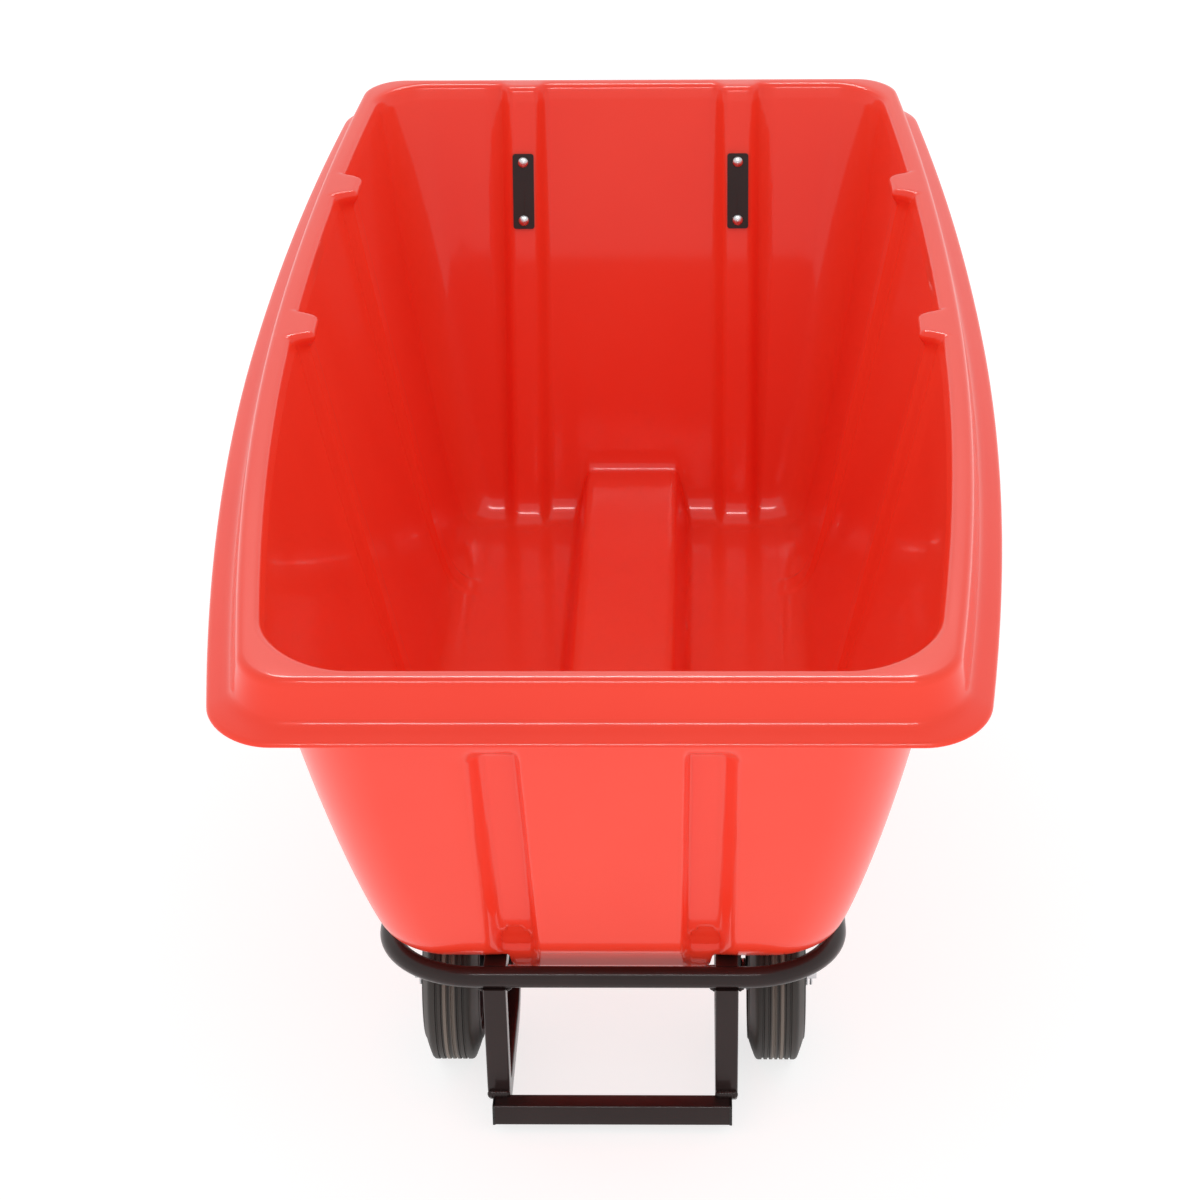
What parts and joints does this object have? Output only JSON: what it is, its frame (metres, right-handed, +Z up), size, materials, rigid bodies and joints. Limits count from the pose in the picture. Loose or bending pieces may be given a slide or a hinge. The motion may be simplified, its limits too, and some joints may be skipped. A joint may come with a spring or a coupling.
{
  "type": "tilt truck",
  "caption": "Wheeled tilt truck: a deep tapered plastic tub on a tube steel frame with fixed wheels, a nose bar on bent legs, swivel casters and a push handle.",
  "frame": {"origin": "centre of the bounding box on the ground under the truck", "axes": "+X across the truck, +Y towards the handle end, +Z up; the low dumping end is at -Y"},
  "size_m": [0.8858, 1.78, 0.8405],
  "materials": {
    "tub_plastic": "semi-gloss moulded polyethylene",
    "painted_steel": "glossy dark brown-black paint",
    "zinc_steel": "bright zinc plate",
    "tyre_rubber": "ribbed dull rubber",
    "tread_rubber": "smooth rubber",
    "wheel_plastic": "moulded plastic",
    "plug_plastic": "moulded plastic",
    "grip_rubber": "dull vinyl"
  },
  "bodies": {
    "chassis": {"tub": "tub_plastic", "frame_rail": "painted_steel", "rear_rail_tube": "painted_steel", "stringer_left": "painted_steel", "stringer_right": "painted_steel", "front_caster_tube": "painted_steel", "rear_caster_tube": "painted_steel", "middle_cross_tube": "painted_steel", "rail_plugs": "plug_plastic", "leg_left": "painted_steel", "leg_right": "painted_steel", "nose_bar": "painted_steel", "nose_bar_plugs": "plug_plastic", "frame_welds": "painted_steel", "axle_hanger_left": "painted_steel", "axle_hanger_right": "painted_steel", "axle": "zinc_steel", "axle_washers": "zinc_steel", "axle_cotter_pins": "zinc_steel", "caster_mount_left": "painted_steel", "caster_mount_right": "painted_steel", "caster_plate_left": "zinc_steel", "caster_plate_right": "zinc_steel", "caster_bolts": "zinc_steel", "caster_nuts": "zinc_steel", "caster_race_left": "zinc_steel", "caster_race_right": "zinc_steel", "handle_tube": "painted_steel", "handle_grip": "grip_rubber", "handle_foot_left": "painted_steel", "handle_foot_right": "painted_steel", "backing_plate_left": "painted_steel", "backing_plate_right": "painted_steel", "handle_bolts": "zinc_steel", "handle_washers": "zinc_steel", "handle_nuts": "zinc_steel", "tub_bolts": "zinc_steel", "tub_washers": "zinc_steel", "tub_nuts": "zinc_steel"},
    "wheel_left": {"tyre_left": "tyre_rubber", "wheel_core_left": "wheel_plastic", "wheel_bearings_left": "zinc_steel"},
    "wheel_right": {"tyre_right": "tyre_rubber", "wheel_core_right": "wheel_plastic", "wheel_bearings_right": "zinc_steel"},
    "caster_left_fork": {"caster_fork_left": "zinc_steel", "caster_axle_left": "zinc_steel"},
    "caster_right_fork": {"caster_fork_right": "zinc_steel", "caster_axle_right": "zinc_steel"},
    "caster_left_wheel": {"caster_tread_left": "tread_rubber", "caster_core_left": "wheel_plastic"},
    "caster_right_wheel": {"caster_tread_right": "tread_rubber", "caster_core_right": "wheel_plastic"}
  },
  "joints": [
    {"name": "wheel_left_spin", "type": "hinge", "parent": "chassis", "child": "wheel_left", "pos_m": [-0.187, -0.43, 0.1016], "axis": [1, 0, 0], "continuous": true},
    {"name": "wheel_right_spin", "type": "hinge", "parent": "chassis", "child": "wheel_right", "pos_m": [0.187, -0.43, 0.1016], "axis": [1, 0, 0], "continuous": true},
    {"name": "caster_left_swivel", "type": "hinge", "parent": "chassis", "child": "caster_left_fork", "pos_m": [-0.185, 0.478, 0.16], "axis": [0, 0, 1], "continuous": true},
    {"name": "caster_right_swivel", "type": "hinge", "parent": "chassis", "child": "caster_right_fork", "pos_m": [0.185, 0.478, 0.16], "axis": [0, 0, 1], "continuous": true},
    {"name": "caster_left_roll", "type": "hinge", "parent": "caster_left_fork", "child": "caster_left_wheel", "pos_m": [-0.185, 0.516, 0.0762], "axis": [1, 0, 0], "continuous": true},
    {"name": "caster_right_roll", "type": "hinge", "parent": "caster_right_fork", "child": "caster_right_wheel", "pos_m": [0.185, 0.516, 0.0762], "axis": [1, 0, 0], "continuous": true}
  ]
}
